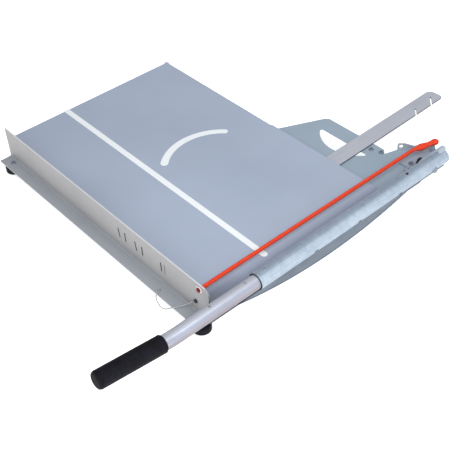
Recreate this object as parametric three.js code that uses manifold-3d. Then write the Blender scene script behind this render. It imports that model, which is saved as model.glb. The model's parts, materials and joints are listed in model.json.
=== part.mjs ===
// Lever shear for roofing tiles and slates. A flat sheet-metal table stands on four rubber
// feet behind a fence; a curved blade on a long hinged arm cuts along its right-hand edge,
// an elastic cord marks the cut, and a stop bar slides out at the rear.
//
// Millimetres. X runs along the fence, Y away from it and Z up. The pieces are drawn with
// the table's top face at Z = 0, and the finished group is moved to stand on Z = 0.
import * as THREE from 'three';
import { mergeVertices } from 'three/addons/utils/BufferGeometryUtils.js';
import Module from 'manifold-3d';

const wasm = await Module();
wasm.setup();

// ---------------------------------------------------------------- driving dimensions
const GAP = 0.3; // between pieces that meet
const FLOOR = -65; // what the feet stand on

const TABLE_RIGHT = 675.7;
const TABLE_DEPTH = 439;
const TABLE_SHEET = 2;
const TABLE_LIP = 20;
const FRONT_LIP = 14;
const FRONT_LIPS = [[0, 395], [565, 630]]; // the folded lip stops short of the fence's slots
const REAR_LIP_END = 366;

const FENCE_LENGTH = 675;
const FENCE_TOP = 27;
const FENCE_BOTTOM = -48;
const FENCE_SHEET = 2.5;
const FENCE_CORNER = 14;
const LEDGE_OUT = 30;
const SLOTS = [ // middle, width, lean of the top to the left
  [411, 3.4, 3],
  [429.5, 3.4, 0],
  [464, 3.4, 3],
  [482.5, 3.4, 0],
  [539.5, 3.4, 0],
  [550, 1.6, 0],
];
const SLOT_BOTTOM = -18;
const SLOT_TOP = 4;

const RAIL_SHEET = 2.5;
const REAR_PLATE_TOP = -5.6;
const REAR_PLATE_BOTTOM = -8;
const UNDER_PLATE = REAR_PLATE_BOTTOM - GAP;
const REAR_PLATE_FRONT = 200;
const REAR_PLATE_END = 622;
const HANDLE_EDGE = 548;
const HAND_HOLE_EDGE = 511;
const HAND_HOLE_X = 509.5;
const HAND_HOLE_HALF = 63.5;
const HAND_HOLE_RADIUS = 80.5;
const HAND_HOLE_ARC_Y = 504;

const BEAM_WEB_X = 648;
const BEAM_SHEET = 4;
const BEAM_FLANGE_RIGHT = 703;
const BEAM_FOOT_LEFT = 604;
const BEAM_START = 0.5;

const SHEAR_X = 707.3; // the plane the blade shears on
const COUNTER_LEFT = 676;
const COUNTER_START = -28;
const COUNTER_END = 520;
const COUNTER_THICK = 8;
const COUNTER_SCREW_YS = [40, 195, 350, 505];
const COUNTER_SCREW_X = 686;

const ARM_X = 705;
const ARM_Z = 21.5; // above the pivot; the arm drops towards its handle from there
const ARM_DROP = THREE.MathUtils.degToRad(0.5);
const SLEEVE_RADIUS = 16.4; // at its mouth
const SLEEVE_TIP_RADIUS = 15.2; // at its rear end
const SLEEVE_WALL = 1.6;
const SLEEVE_START = 80;
const SLEEVE_END = 588;
const TUBE_RADIUS = 14;
const TUBE_WALL = 2;
const TUBE_END = 172;
const CORE_RADIUS = 11.6;
const HANDLE_BEND_Y = -108;
const HANDLE_RISE = THREE.MathUtils.degToRad(7.2); // over the line of the arm
const GRIP_RADIUS = 16.5;
const GRIP_LENGTH = 133;
const GRIP_START = 18; // along the raised part of the handle, from the bend
const ARM_SCREW_YS = {
  tube_screw_1: -24.7,
  tube_screw_2: 55.4,
  sleeve_screw_front: 102,
  sleeve_screw_rear: 477,
};
const ARM_SCREW_RADIUS = 1.8;
const ARM_HOLE_RADIUS = 2.1;

const BLADE_LEFT = SHEAR_X + 0.2;
const BLADE_THICK = 5;
const BLADE_START = 22; // where its curve would reach BLADE_LOW
const BLADE_NOSE = 31;
const BLADE_ARC_END = 485;
const BLADE_BELLY = 29.7;
const BLADE_LOW = 2.2; // lower edge beyond the curve
const BLADE_NECK = 2.7; // top edge under the handle tube
const BLADE_TOP = 25; // top edge inside the sleeve
const BLADE_STEP_Y = 178;
const BLADE_RIVET_YS = [215, 330, 445];
const BLADE_RIVET_Z = 12;

const PIVOT_Y = 546;
const PIVOT_Z = 16;
const PIVOT_RADIUS = 5;
const BOSS_START = 462;
const BOSS_END = 570;
const BRACKET_START = 521.5;
const EAR_LEFT = 683.5;
const EAR_THICK = 4;
const EAR_TOP = 23.5;

const BAR_WIDTH = 37.5;
const BAR_THICK = 3;
const BAR_START = 313;
const BAR_END = 783;
const BAR_PLAY = THREE.MathUtils.degToRad(1.7); // how far it lies askew between its guides
const BAR_X = 542.6; // its middle at BAR_Y
const BAR_Y = 448;
const GUIDE_START = 335;

const FOOT_RADIUS = 18;
const FOOT_SPOTS = {
  front_left: [28, -14, FENCE_BOTTOM, FENCE_SHEET],
  front_right: [664, -14, FENCE_BOTTOM, FENCE_SHEET],
  rear_left: [28, 411, FENCE_BOTTOM, RAIL_SHEET],
  rear_right: [626, 575, FENCE_BOTTOM, BEAM_SHEET],
};

const CORD_X = 650.5;
const CORD_RADIUS = 3.9;
const CORD_HOLE_Z = 16;
const CORD_TOP_Z = 20;
const CORD_LOOP_START = 563;
const CORD_END = CORD_LOOP_START - 1.6;
const LOOP_LENGTH = 57;
const LOOP_HALF = 7.4;
const LOOP_THICK = 11;
const LOOP_TURN = THREE.MathUtils.degToRad(17); // to the right of the cord's line
const POST_ALONG = 48; // from the start of the loop

const PIN_X = 638;
const PIN_Z = -21.4;
const PIN_RADIUS = 2.6;
const LANYARD_RADIUS = 1.1;
const ANCHOR = [552, -21];

// ---------------------------------------------------------------- materials
const finish = (color, metalness, roughness) =>
  new THREE.MeshStandardMaterial({ color, metalness, roughness });
const tablePaint = finish(0x9fabbb, 0.2, 0.45);
const platePaint = finish(0xa9aaac, 0.3, 0.45);
const galvanised = finish(0xb9c4d0, 0.8, 0.4);
const polished = finish(0xc9ccd2, 0.95, 0.22);
const bladeSteel = finish(0x8b97a6, 0.9, 0.38);
const darkSteel = finish(0x3c4046, 0.8, 0.5);
const zinc = finish(0x9da3a8, 0.85, 0.4);
const rubber = finish(0x1e2026, 0, 0.85);
const orangeCord = finish(0xe4472a, 0, 0.7);
const wireSteel = finish(0xaeb0b0, 0.8, 0.4);

// ---------------------------------------------------------------- shape helpers
const vec2 = (x, y) => new THREE.Vector2(x, y);
const vec3 = (x, y, z) => new THREE.Vector3(x, y, z);

function block([x0, x1], [y0, y1], [z0, z1]) {
  const box = new THREE.BoxGeometry(x1 - x0, y1 - y0, z1 - z0);
  return box.translate((x0 + x1) / 2, (y0 + y1) / 2, (z0 + z1) / 2);
}

// A round bar along one axis; centre holds its place on the other two, in X, Y, Z order.
function rod(axis, radius, from, to, centre, sides = 32, endRadius = radius) {
  const bar = new THREE.CylinderGeometry(endRadius, radius, to - from, sides);
  const middle = (from + to) / 2;
  if (axis === 'x') return bar.rotateZ(-Math.PI / 2).translate(middle, centre[0], centre[1]);
  if (axis === 'y') return bar.translate(centre[0], middle, centre[1]);
  return bar.rotateX(Math.PI / 2).translate(centre[0], centre[1], middle);
}

// An outline pushed along one axis. It is drawn in (Y, Z), (X, Z) or (X, Y).
function prism(shape, axis, from, to, curveSegments = 16) {
  const solid = new THREE.ExtrudeGeometry(shape, {
    depth: to - from,
    bevelEnabled: false,
    curveSegments,
  });
  const turn = new THREE.Matrix4();
  if (axis === 'x') {
    turn.makeBasis(vec3(0, 1, 0), vec3(0, 0, 1), vec3(1, 0, 0));
    return solid.applyMatrix4(turn).translate(from, 0, 0);
  }
  if (axis === 'y') {
    turn.makeBasis(vec3(1, 0, 0), vec3(0, 0, 1), vec3(0, -1, 0));
    return solid.applyMatrix4(turn).translate(0, to, 0);
  }
  return solid.translate(0, 0, from);
}

// Outline of a folded sheet: its middle line, rounded at each fold, with a thickness.
function foldedSheet(corners, thickness, foldRadius = 2 * thickness) {
  const middle = new THREE.Path();
  middle.moveTo(corners[0].x, corners[0].y);
  corners.slice(1, -1).forEach((corner, i) => {
    const towards = (other) => other.clone().sub(corner).setLength(foldRadius).add(corner);
    const enter = towards(corners[i]);
    const leave = towards(corners[i + 2]);
    middle.lineTo(enter.x, enter.y);
    middle.quadraticCurveTo(corner.x, corner.y, leave.x, leave.y);
  });
  const last = corners[corners.length - 1];
  middle.lineTo(last.x, last.y);
  const line = middle.getPoints(6);
  const left = [];
  const right = [];
  line.forEach((point, i) => {
    const before = line[Math.max(i - 1, 0)];
    const after = line[Math.min(i + 1, line.length - 1)];
    const along = after.clone().sub(before).setLength(thickness / 2);
    left.push(vec2(point.x - along.y, point.y + along.x));
    right.unshift(vec2(point.x + along.y, point.y - along.x));
  });
  return new THREE.Shape([...left, ...right]);
}

function hexagon(acrossFlats) {
  const corner = acrossFlats / Math.sqrt(3);
  const turns = [0, 1, 2, 3, 4, 5];
  return new THREE.Shape(
    turns.map((k) => vec2(corner * Math.cos((k * Math.PI) / 3), corner * Math.sin((k * Math.PI) / 3))),
  );
}

// A round section carried along a curve, hollow where it has an inner radius.
function tubeAlong(curve, radius, sides, steps, innerRadius = 0) {
  const section = new THREE.Shape();
  section.absarc(0, 0, radius, 0, 2 * Math.PI);
  if (innerRadius > 0) {
    const bore = new THREE.Path();
    bore.absarc(0, 0, innerRadius, 0, 2 * Math.PI);
    section.holes.push(bore);
  }
  return new THREE.ExtrudeGeometry(section, {
    extrudePath: curve,
    steps,
    curveSegments: sides,
    bevelEnabled: false,
  });
}

// ---------------------------------------------------------------- joining and cutting
function solidOf(geometry) {
  const plain = geometry.clone();
  plain.deleteAttribute('normal');
  plain.deleteAttribute('uv');
  const merged = mergeVertices(plain, 1e-4);
  return new wasm.Manifold(
    new wasm.Mesh({
      numProp: 3,
      vertProperties: merged.attributes.position.array,
      triVerts: new Uint32Array(merged.index.array),
    }),
  );
}

function geometryOf(solid) {
  const { vertProperties, triVerts } = solid.getMesh();
  const geometry = new THREE.BufferGeometry();
  geometry.setAttribute('position', new THREE.BufferAttribute(vertProperties, 3));
  geometry.setIndex(new THREE.BufferAttribute(triVerts, 1));
  geometry.computeVertexNormals();
  return geometry;
}

const join = (first, ...others) =>
  geometryOf(others.reduce((whole, other) => whole.add(solidOf(other)), solidOf(first)));
const cut = (first, ...tools) =>
  geometryOf(tools.reduce((whole, tool) => whole.subtract(solidOf(tool)), solidOf(first)));

// ---------------------------------------------------------------- the scene graph
const shear = new THREE.Group();

function add(name, geometry, material, parent = shear) {
  const mesh = new THREE.Mesh(geometry, material);
  mesh.name = name;
  parent.add(mesh);
  return mesh;
}

// ---------------------------------------------------------------- table and fence
function tableTop() {
  const middle = -TABLE_SHEET / 2;
  const half = TABLE_SHEET / 2;
  const inner = 8;
  const front = GAP;
  const leftFold = foldedSheet(
    [vec2(half, -TABLE_LIP), vec2(half, middle), vec2(inner, middle)],
    TABLE_SHEET,
  );
  const rearFold = foldedSheet(
    [
      vec2(TABLE_DEPTH - inner, middle),
      vec2(TABLE_DEPTH - half, middle),
      vec2(TABLE_DEPTH - half, -TABLE_LIP),
    ],
    TABLE_SHEET,
  );
  const frontFold = foldedSheet(
    [vec2(front + half, -FRONT_LIP), vec2(front + half, middle), vec2(inner, middle)],
    TABLE_SHEET,
  );
  return join(
    block([inner - 1, TABLE_RIGHT], [inner - 1, TABLE_DEPTH - inner + 1], [-TABLE_SHEET, 0]),
    prism(leftFold, 'y', front, TABLE_DEPTH),
    prism(rearFold, 'x', 0, REAR_LIP_END),
    ...FRONT_LIPS.map(([from, to]) => prism(frontFold, 'x', from, to)),
    block([REAR_LIP_END - 1, TABLE_RIGHT], [TABLE_DEPTH - inner, TABLE_DEPTH], [-TABLE_SHEET, 0]),
    block([FRONT_LIPS[0][1] - 1, TABLE_RIGHT], [front, inner], [-TABLE_SHEET, 0]),
  );
}

function fence() {
  const face = -FENCE_SHEET / 2;
  const ledge = FENCE_BOTTOM + FENCE_SHEET / 2;
  const profile = foldedSheet(
    [vec2(face, FENCE_TOP), vec2(face, ledge), vec2(-LEDGE_OUT, ledge)],
    FENCE_SHEET,
  );
  const through = [-FENCE_SHEET - 1, 1];
  const corner = new THREE.Shape();
  corner.moveTo(FENCE_LENGTH - FENCE_CORNER, FENCE_TOP + 1);
  corner.lineTo(FENCE_LENGTH - FENCE_CORNER, FENCE_TOP);
  corner.absarc(FENCE_LENGTH - FENCE_CORNER, FENCE_TOP - FENCE_CORNER, FENCE_CORNER, Math.PI / 2, 0, true);
  corner.lineTo(FENCE_LENGTH + 1, FENCE_TOP - FENCE_CORNER);
  corner.lineTo(FENCE_LENGTH + 1, FENCE_TOP + 1);
  const slots = SLOTS.map(([x, width, lean]) => {
    const left = x - width / 2;
    const outline = new THREE.Shape([
      vec2(left, SLOT_BOTTOM),
      vec2(left + width, SLOT_BOTTOM),
      vec2(left + width - lean, SLOT_TOP),
      vec2(left - lean, SLOT_TOP),
    ]);
    return prism(outline, 'y', ...through);
  });
  const ledgeHoles = [FOOT_SPOTS.front_left, FOOT_SPOTS.front_right].map(([x, y]) =>
    rod('z', 3.4, FENCE_BOTTOM - 1, FENCE_BOTTOM + FENCE_SHEET + 1, [x, y], 24),
  );
  return cut(
    prism(profile, 'x', 0, FENCE_LENGTH),
    prism(corner, 'y', ...through, 12),
    ...slots,
    ...ledgeHoles,
    rod('y', CORD_RADIUS + 0.6, ...through, [CORD_X, CORD_HOLE_Z], 24),
    rod('y', PIN_RADIUS + 0.5, ...through, [PIN_X, PIN_Z], 24),
    rod('z', 2, FENCE_BOTTOM - 1, FENCE_BOTTOM + FENCE_SHEET + 1, ANCHOR, 16),
  );
}

// ---------------------------------------------------------------- frame below the table
function sideBeam() {
  const top = UNDER_PLATE - BEAM_SHEET / 2;
  const bottom = FENCE_BOTTOM + BEAM_SHEET / 2;
  const profile = foldedSheet(
    [
      vec2(BEAM_FLANGE_RIGHT, top),
      vec2(BEAM_WEB_X, top),
      vec2(BEAM_WEB_X, bottom),
      vec2(BEAM_FOOT_LEFT, bottom),
    ],
    BEAM_SHEET,
    BEAM_SHEET + 2,
  );
  const tapped = COUNTER_SCREW_YS.map((y) => rod('z', 3.4, -14, -7, [COUNTER_SCREW_X, y], 24));
  const [footX, footY] = FOOT_SPOTS.rear_right;
  return cut(
    prism(profile, 'y', BEAM_START, REAR_PLATE_END),
    block([EAR_LEFT, BEAM_FLANGE_RIGHT + 1], [COUNTER_END + 6, REAR_PLATE_END + 1], [-14, -7]),
    ...tapped,
    ...BRACKET_BOLTS.map((spot) => rod('z', 3.4, -14, -7, spot, 24)),
    rod('z', 3.4, FENCE_BOTTOM - 1, FENCE_BOTTOM + BEAM_SHEET + 1, [footX, footY], 24),
  );
}

function rearRail() {
  const top = UNDER_PLATE - RAIL_SHEET / 2;
  const bottom = FENCE_BOTTOM + RAIL_SHEET / 2;
  const web = TABLE_DEPTH - 12;
  const flange = web - 32;
  const profile = foldedSheet(
    [vec2(flange, top), vec2(web, top), vec2(web, bottom), vec2(flange, bottom)],
    RAIL_SHEET,
  );
  const [footX, footY] = FOOT_SPOTS.rear_left;
  return cut(
    prism(profile, 'x', 4, BEAM_FOOT_LEFT - GAP),
    rod('z', 3.4, FENCE_BOTTOM - 1, FENCE_BOTTOM + RAIL_SHEET + 1, [footX, footY], 24),
  );
}

function centreRail() {
  const top = -TABLE_SHEET - GAP - RAIL_SHEET / 2;
  const bottom = -34;
  const left = 200;
  const right = left + 36;
  const profile = foldedSheet(
    [vec2(left - 14, bottom), vec2(left, bottom), vec2(left, top), vec2(right, top), vec2(right, bottom),
      vec2(right + 14, bottom)],
    RAIL_SHEET,
    4,
  );
  return prism(profile, 'y', 7, 394);
}

const GROMMET_FACE = -FENCE_SHEET - GAP;
const POST_SPOT = [
  CORD_X + POST_ALONG * Math.sin(LOOP_TURN),
  CORD_LOOP_START + POST_ALONG * Math.cos(LOOP_TURN),
];
const HANDLE_BOLTS = [[569, 529.5], [590.5, 536]];
const BRACKET_BOLTS = [[660, 546], [673, 528]];

function rearPlate() {
  const outline = new THREE.Shape([
    vec2(395, REAR_PLATE_FRONT),
    vec2(640, REAR_PLATE_FRONT),
    vec2(640, TABLE_DEPTH + GAP),
    vec2(COUNTER_LEFT - GAP, TABLE_DEPTH + GAP),
    vec2(COUNTER_LEFT - GAP, COUNTER_END + 6),
    vec2(EAR_LEFT - GAP, COUNTER_END + 6),
    vec2(EAR_LEFT - GAP, REAR_PLATE_END),
    vec2(631, REAR_PLATE_END),
    vec2(606.5, 568),
    vec2(597.5, 538),
    vec2(588, HANDLE_EDGE),
    vec2(433, HANDLE_EDGE),
    vec2(424, HANDLE_EDGE - 6),
    vec2(376, 438),
    vec2(376, 400),
    vec2(395, 380),
  ]);
  outline.holes.push(handHole());
  const holes = [...HANDLE_BOLTS, ...BRACKET_BOLTS].map((spot) => rod('z', 3.4, -9, -5, spot, 24));
  return cut(prism(outline, 'z', REAR_PLATE_BOTTOM, REAR_PLATE_TOP, 24), ...holes);
}

// A half-moon: a straight side to the rear, a round side to the front, and eased corners.
function handHole() {
  const hole = new THREE.Path();
  const centreY = HAND_HOLE_ARC_Y + Math.sqrt(HAND_HOLE_RADIUS ** 2 - HAND_HOLE_HALF ** 2);
  const half = Math.asin(HAND_HOLE_HALF / HAND_HOLE_RADIUS);
  const right = HAND_HOLE_X + HAND_HOLE_HALF;
  const left = HAND_HOLE_X - HAND_HOLE_HALF;
  hole.moveTo(left + 5, HAND_HOLE_EDGE);
  hole.lineTo(right - 5, HAND_HOLE_EDGE);
  hole.quadraticCurveTo(right + 2, HAND_HOLE_EDGE, right, HAND_HOLE_ARC_Y);
  hole.absarc(HAND_HOLE_X, centreY, HAND_HOLE_RADIUS, half - Math.PI / 2, -half - Math.PI / 2, true);
  hole.quadraticCurveTo(left - 2, HAND_HOLE_EDGE, left + 5, HAND_HOLE_EDGE);
  return hole;
}

function handleBrace() {
  const outline = new THREE.Shape([
    vec2(552, 516), vec2(BEAM_WEB_X - 3, 516), vec2(BEAM_WEB_X - 3, 534),
    vec2(600, 534), vec2(592, 543), vec2(552, 543),
  ]);
  const holes = HANDLE_BOLTS.map((spot) => rod('z', 3.4, -14, -7, spot, 24));
  return cut(prism(outline, 'z', UNDER_PLATE - 4, UNDER_PLATE), ...holes);
}

function counterBlade() {
  const bar = block([COUNTER_LEFT, SHEAR_X - 0.2], [COUNTER_START, COUNTER_END], [-COUNTER_THICK, 0]);
  const holes = COUNTER_SCREW_YS.flatMap((y) => [
    rod('z', 3.4, -COUNTER_THICK - 1, 1, [COUNTER_SCREW_X, y], 24),
    rod('z', 3.4, -3.4, 0.5, [COUNTER_SCREW_X, y], 24, 7.3),
  ]);
  return cut(bar, ...holes);
}

// ---------------------------------------------------------------- pivot and cord fittings
function pivotBracket() {
  const seat = REAR_PLATE_TOP + GAP;
  const rear = REAR_PLATE_END - 2;
  const side = new THREE.Shape();
  side.moveTo(COUNTER_END + 8, seat);
  side.lineTo(COUNTER_END + 8, 6);
  side.lineTo(PIVOT_Y - 8, EAR_TOP - 4);
  side.quadraticCurveTo(PIVOT_Y - 3, EAR_TOP, PIVOT_Y + 6, EAR_TOP);
  side.lineTo(rear - 14, EAR_TOP);
  side.quadraticCurveTo(rear, EAR_TOP, rear, EAR_TOP - 14);
  side.lineTo(rear, seat);
  const flange = block([642, EAR_LEFT + 1], [BRACKET_START + 11.5, rear], [seat, seat + EAR_THICK]);
  const nose = block(
    [EAR_LEFT - 21, EAR_LEFT + 1],
    [BRACKET_START, BRACKET_START + 12.5],
    [seat, seat + EAR_THICK],
  );
  return cut(
    join(prism(side, 'x', EAR_LEFT, EAR_LEFT + EAR_THICK, 12), flange, nose),
    rod('x', PIVOT_RADIUS + 0.3, EAR_LEFT - 1, EAR_LEFT + EAR_THICK + 1, [PIVOT_Y, PIVOT_Z], 24),
    rod('z', 3.4, -6, 0, BRACKET_BOLTS[0], 24),
    rod('z', 3.4, -6, 0, BRACKET_BOLTS[1], 24),
    rod('z', 3.3, -6, 0, POST_SPOT, 24),
  );
}

function eyeTab() {
  const seat = REAR_PLATE_TOP + GAP;
  const height = 17.5;
  const length = 48;
  const outline = new THREE.Shape();
  outline.moveTo(0, 0);
  outline.lineTo(length, 0);
  outline.lineTo(length, 5);
  outline.lineTo(15, height);
  outline.lineTo(4, height);
  outline.quadraticCurveTo(0, height, 0, height - 4);
  const eye = new THREE.Path();
  eye.absarc(7.5, height - 7, 4, 0, 2 * Math.PI);
  outline.holes.push(eye);
  const tab = prism(outline, 'y', 0, 2.5, 12);
  return tab.rotateZ(THREE.MathUtils.degToRad(48)).translate(609, 564, seat);
}

function elasticCord() {
  const rise = CORD_TOP_Z - CORD_HOLE_Z;
  const height = (share) => CORD_HOLE_Z + share * rise;
  const route = new THREE.CatmullRomCurve3([
    vec3(CORD_X, GROMMET_FACE - 1.2, CORD_HOLE_Z),
    vec3(CORD_X, 8, height(0.05)),
    vec3(CORD_X, 60, height(0.25)),
    vec3(CORD_X, 180, height(0.45)),
    vec3(CORD_X, 300, height(0.62)),
    vec3(CORD_X, 430, height(0.83)),
    vec3(CORD_X, CORD_END - 12, CORD_TOP_Z),
    vec3(CORD_X, CORD_END, CORD_TOP_Z),
  ]);
  return tubeAlong(route, CORD_RADIUS, 6, 44);
}

// The doubled end of the cord, bound in a sleeve of its own that is pushed over the post.
function cordLoop() {
  const outline = new THREE.Shape();
  outline.moveTo(3 - LOOP_HALF, 0);
  outline.lineTo(LOOP_HALF - 3, 0);
  outline.lineTo(LOOP_HALF, 6);
  outline.absarc(0, LOOP_LENGTH - LOOP_HALF, LOOP_HALF, 0, Math.PI);
  outline.lineTo(-LOOP_HALF, 6);
  const body = prism(outline, 'z', CORD_TOP_Z - LOOP_THICK / 2, CORD_TOP_Z + LOOP_THICK / 2, 12);
  const socket = rod('z', 3.3, CORD_TOP_Z - LOOP_THICK, CORD_TOP_Z + 1.3, [0, POST_ALONG], 24);
  return cut(body, socket).rotateZ(-LOOP_TURN).translate(CORD_X, CORD_LOOP_START, 0);
}

function cordPost() {
  const seat = REAR_PLATE_TOP + GAP;
  return join(
    rod('z', 3, seat, CORD_TOP_Z + 1, POST_SPOT, 20),
    rod('z', 5.5, seat + EAR_THICK + GAP, 11, POST_SPOT, 24, 4.5),
  );
}

// ---------------------------------------------------------------- the arm
// Its round pieces are drawn level with the pivot, and then drop towards the handle.
const armSection = [ARM_X, ARM_Z];
const bladeSlot = [BLADE_LEFT - GAP, BLADE_LEFT + BLADE_THICK + GAP];
const pivotHole = rod('x', PIVOT_RADIUS + 0.3, 680, 730, [PIVOT_Y, PIVOT_Z], 24);

function dropped(geometry) {
  return geometry
    .translate(0, -PIVOT_Y, -ARM_Z)
    .rotateX(ARM_DROP)
    .translate(0, PIVOT_Y, ARM_Z);
}

function sleeveRadius(y) {
  const share = (y - SLEEVE_START) / (SLEEVE_END - SLEEVE_START);
  return SLEEVE_RADIUS + share * (SLEEVE_TIP_RADIUS - SLEEVE_RADIUS);
}

function sleeveTaper(inset, from, to) {
  return rod('y', sleeveRadius(from) - inset, from, to, armSection, 48, sleeveRadius(to) - inset);
}

const screwHoles = (radius, from, to, ...names) =>
  names.map((name) => rod('z', radius, from, to, [ARM_X, ARM_SCREW_YS[name]], 20));

function armSleeve() {
  const rivets = BLADE_RIVET_YS.map((y) => rod('x', 3.4, 680, 730, [y, BLADE_RIVET_Z], 24));
  const body = cut(
    sleeveTaper(0, SLEEVE_START, SLEEVE_END),
    sleeveTaper(SLEEVE_WALL, SLEEVE_START - 1, SLEEVE_END + 1),
    block(bladeSlot, [SLEEVE_START - 1, SLEEVE_END + 1], [0, ARM_Z - 5]),
    block([ARM_X - 20, ARM_X + 4], [BOSS_END + 1, SLEEVE_END + 1], [ARM_Z + 2, ARM_Z + 20]),
    ...screwHoles(ARM_HOLE_RADIUS, ARM_Z, ARM_Z + 20, 'sleeve_screw_front', 'sleeve_screw_rear'),
  );
  return cut(dropped(body), pivotHole, ...rivets);
}

function handleCurve() {
  const bend = vec3(ARM_X, HANDLE_BEND_Y, ARM_Z);
  const raised = (distance) =>
    vec3(ARM_X, HANDLE_BEND_Y - distance * Math.cos(HANDLE_RISE), ARM_Z + distance * Math.sin(HANDLE_RISE));
  const line = new THREE.CurvePath();
  line.add(new THREE.LineCurve3(vec3(ARM_X, TUBE_END, ARM_Z), vec3(ARM_X, HANDLE_BEND_Y + 12, ARM_Z)));
  line.add(new THREE.QuadraticBezierCurve3(vec3(ARM_X, HANDLE_BEND_Y + 12, ARM_Z), bend, raised(12)));
  line.add(new THREE.LineCurve3(raised(12), raised(GRIP_START + GRIP_LENGTH - 5)));
  return line;
}

const tubeScrews = ['tube_screw_1', 'tube_screw_2', 'sleeve_screw_front'];

function handleTube() {
  const tube = tubeAlong(handleCurve(), TUBE_RADIUS, 14, 24, TUBE_RADIUS - TUBE_WALL);
  return dropped(cut(tube, ...screwHoles(ARM_HOLE_RADIUS, ARM_Z, ARM_Z + 20, ...tubeScrews)));
}

function coreBar() {
  const bar = rod('y', CORE_RADIUS, -52, TUBE_END - 2, armSection, 28);
  return dropped(cut(bar, ...screwHoles(ARM_HOLE_RADIUS, ARM_Z - 1, ARM_Z + 20, ...tubeScrews)));
}

function pivotBoss() {
  const body = cut(
    sleeveTaper(SLEEVE_WALL + GAP, BOSS_START, BOSS_END),
    block(bladeSlot, [BOSS_START - 1, BOSS_END + 1], [0, BLADE_TOP + 1]),
    ...screwHoles(ARM_HOLE_RADIUS, BLADE_TOP, ARM_Z + 20, 'sleeve_screw_rear'),
  );
  return cut(dropped(body), pivotHole);
}

// Curved cutting edge below, a low neck under the handle tube, and a deep web in the sleeve.
function blade() {
  const halfChord = (BLADE_ARC_END - BLADE_START) / 2;
  const radius = (halfChord ** 2 + BLADE_BELLY ** 2) / (2 * BLADE_BELLY);
  const middleY = (BLADE_ARC_END + BLADE_START) / 2;
  const centreZ = BLADE_LOW - BLADE_BELLY + radius;
  const noseAngle = Math.asin((middleY - BLADE_NOSE) / radius);
  const endAngle = Math.asin(halfChord / radius);
  const outline = new THREE.Shape();
  outline.moveTo(BLADE_NOSE, BLADE_NECK);
  outline.absarc(middleY, centreZ, radius, -Math.PI / 2 - noseAngle, -Math.PI / 2 + endAngle);
  outline.lineTo(SLEEVE_END - 4, BLADE_LOW);
  outline.lineTo(SLEEVE_END - 4, BLADE_TOP - 8);
  outline.lineTo(SLEEVE_END - 12, BLADE_TOP);
  outline.lineTo(BLADE_STEP_Y + 8, BLADE_TOP);
  outline.lineTo(BLADE_STEP_Y, BLADE_TOP - 8);
  outline.lineTo(BLADE_STEP_Y, BLADE_NECK);
  const plate = prism(outline, 'x', BLADE_LEFT, BLADE_LEFT + BLADE_THICK, 40);
  const rivets = BLADE_RIVET_YS.map((y) => rod('x', 3.4, 700, 720, [y, BLADE_RIVET_Z], 24));
  return cut(plate, pivotHole, ...rivets);
}

function grip() {
  const length = GRIP_LENGTH;
  const bore = TUBE_RADIUS + 0.3;
  const wall = length - 4;
  const profile = [
    vec2(0, length),
    vec2(GRIP_RADIUS - 5, length),
    vec2(GRIP_RADIUS - 1.5, length - 1.5),
    vec2(GRIP_RADIUS, length - 5),
    vec2(GRIP_RADIUS, 1.5),
    vec2(GRIP_RADIUS - 1, 0),
    vec2(bore, 0),
    vec2(bore, wall),
    vec2(0, wall),
  ];
  const body = new THREE.LatheGeometry(profile.reverse(), 40);
  body.rotateX(Math.PI - HANDLE_RISE);
  const start = GRIP_START;
  body.translate(
    ARM_X,
    HANDLE_BEND_Y - start * Math.cos(HANDLE_RISE),
    ARM_Z + start * Math.sin(HANDLE_RISE),
  );
  return dropped(body);
}

// ---------------------------------------------------------------- stop bar
function stopBar() {
  const half = BAR_WIDTH / 2;
  const length = BAR_END - BAR_START;
  const head = 25;
  const corner = 14;
  const outline = new THREE.Shape();
  outline.moveTo(-head, 0);
  outline.lineTo(head, 0);
  outline.lineTo(head, 12);
  outline.lineTo(half, 12);
  outline.absarc(half - 9, length - 9, 9, 0, Math.PI / 2);
  outline.absarc(-half + corner, length - corner, corner, Math.PI / 2, Math.PI);
  outline.lineTo(-half, 12);
  outline.lineTo(-head, 12);
  const notch = (along, depth) => {
    const slot = block([-depth, 6], [-1.5, 1.5], [-1, BAR_THICK + 1]);
    return slot.rotateZ(THREE.MathUtils.degToRad(-47)).translate(half, along, 0);
  };
  const bar = cut(
    prism(outline, 'z', 0, BAR_THICK, 12),
    notch(BAR_END - BAR_START - 41, 27),
    notch(BAR_END - BAR_START - 94, 21),
  );
  const slide = new THREE.Matrix4().makeRotationZ(BAR_PLAY);
  const middle = vec3(BAR_X, BAR_Y, -TABLE_SHEET - GAP - BAR_THICK);
  return bar.translate(0, BAR_START - BAR_Y, 0).applyMatrix4(slide).translate(middle.x, middle.y, middle.z);
}

// ---------------------------------------------------------------- fasteners and small pieces
// A round-headed screw standing in a hole; its head sits on the face at seat.
function panScrew([x, y], seat, tip, shaft = 3, headRadius = 5.4, headHeight = 3) {
  return cut(
    join(
      rod('z', shaft, tip, seat + 1, [x, y], 20),
      rod('z', headRadius, seat + GAP / 2, seat + headHeight, [x, y], 24, 0.7 * headRadius),
    ),
    prism(hexagon(0.74 * headRadius), 'z', seat + 0.45 * headHeight, seat + 9).translate(x, y, 0),
  );
}

function hexBolt([x, y], seat, tip, acrossFlats = 8) {
  return join(
    rod('z', 3, tip, seat + 1, [x, y], 20),
    prism(hexagon(acrossFlats), 'z', seat + GAP / 2, seat + 3.4).translate(x, y, 0),
  );
}

function foot([x, y]) {
  const top = FENCE_BOTTOM - GAP;
  const height = top - FLOOR;
  const profile = [
    vec2(0, 0),
    vec2(FOOT_RADIUS - 2, 0),
    vec2(FOOT_RADIUS, 2),
    vec2(FOOT_RADIUS, height - 3),
    vec2(FOOT_RADIUS - 2.5, height),
    vec2(3.4, height),
    vec2(3.4, 5),
    vec2(0, 5),
  ];
  return new THREE.LatheGeometry(profile, 36).rotateX(Math.PI / 2).translate(x, y, FLOOR);
}

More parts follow.
